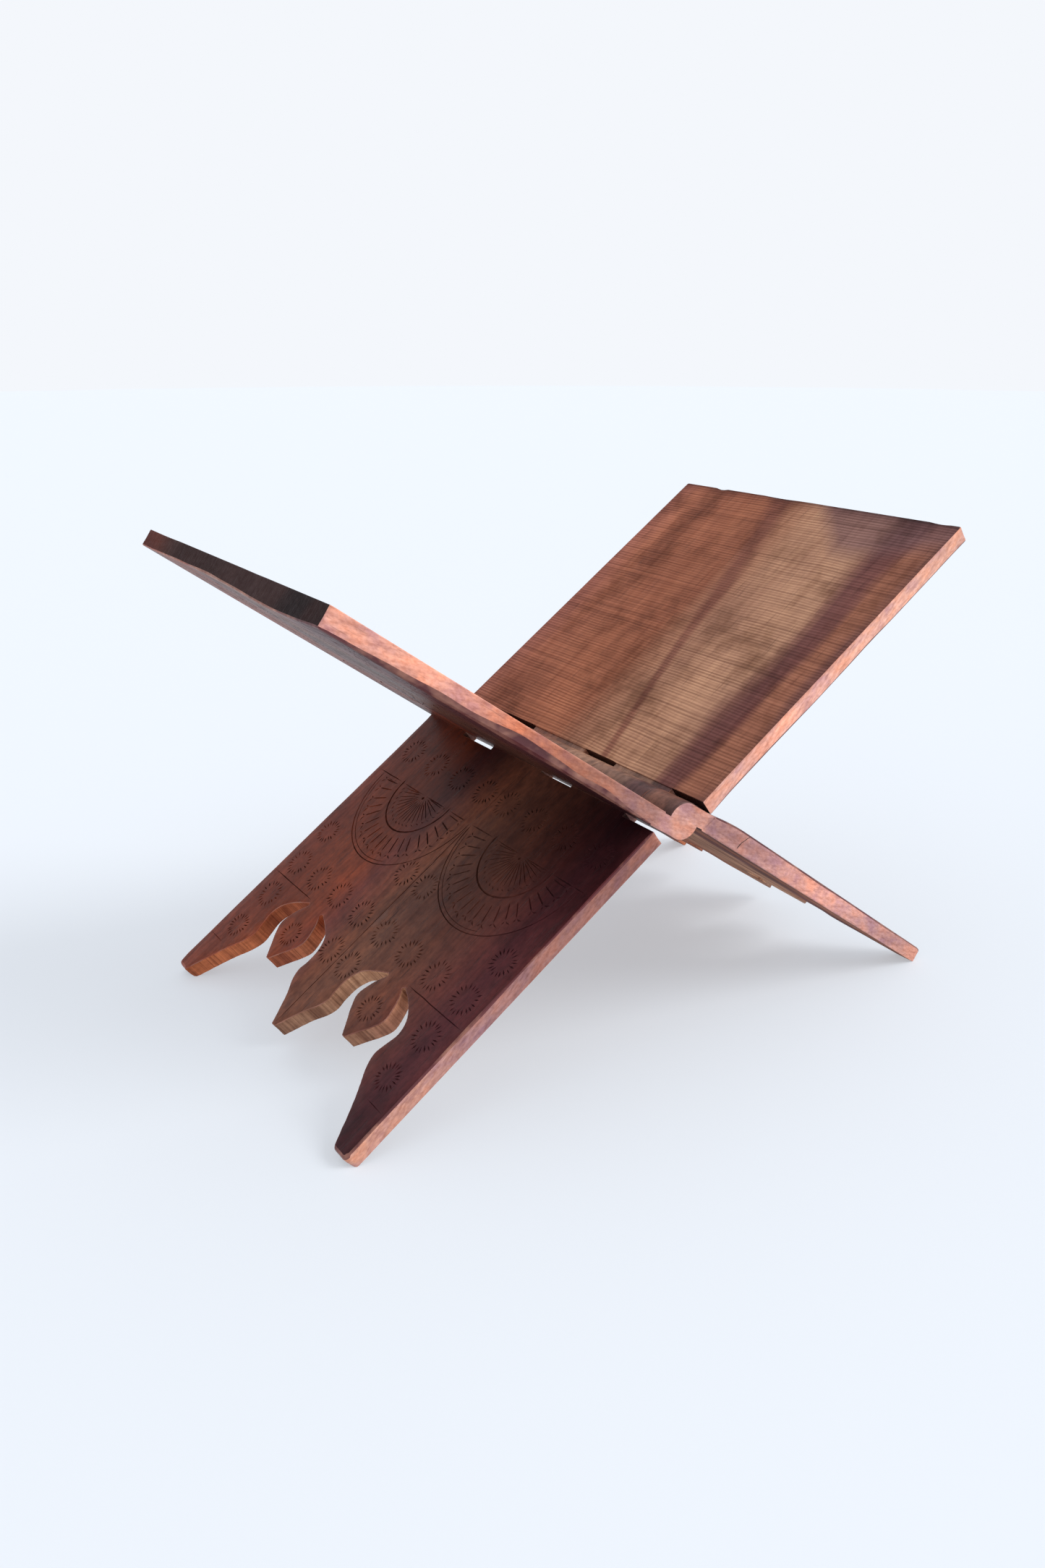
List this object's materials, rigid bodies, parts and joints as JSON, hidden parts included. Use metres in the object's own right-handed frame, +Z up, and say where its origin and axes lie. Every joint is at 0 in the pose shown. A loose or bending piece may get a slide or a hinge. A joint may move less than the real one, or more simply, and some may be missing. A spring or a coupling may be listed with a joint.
{
  "type": "folding book stand",
  "caption": "Folding X-shaped wooden book stand cut from one plank: two leaves linked by carved knuckles, plain cradle wings above and scroll-sawn legs below.",
  "frame": {"origin": "on the floor plane, below the hinge axis, midway between the ends of the knuckles", "axes": "+Z up; Y along the hinge axis, with the left leaf's end knuckle at -Y and the right leaf's at +Y; +X towards the right leaf's wing and the left leaf's feet"},
  "size_m": [0.3368, 0.2, 0.2287],
  "materials": {
    "wood_left": "rough-sawn inner faces, oiled carved outer faces",
    "wood_right": "rough-sawn inner faces, oiled carved outer faces"
  },
  "bodies": {
    "left": {"leaf_left": "wood_left"},
    "right": {"leaf_right": "wood_right"}
  },
  "joints": [
    {"name": "fold", "type": "hinge", "parent": "left", "child": "right", "pos_m": [0, 0, 0.11464], "axis": [0, -1, 0], "range_deg": [0, 109]}
  ]
}
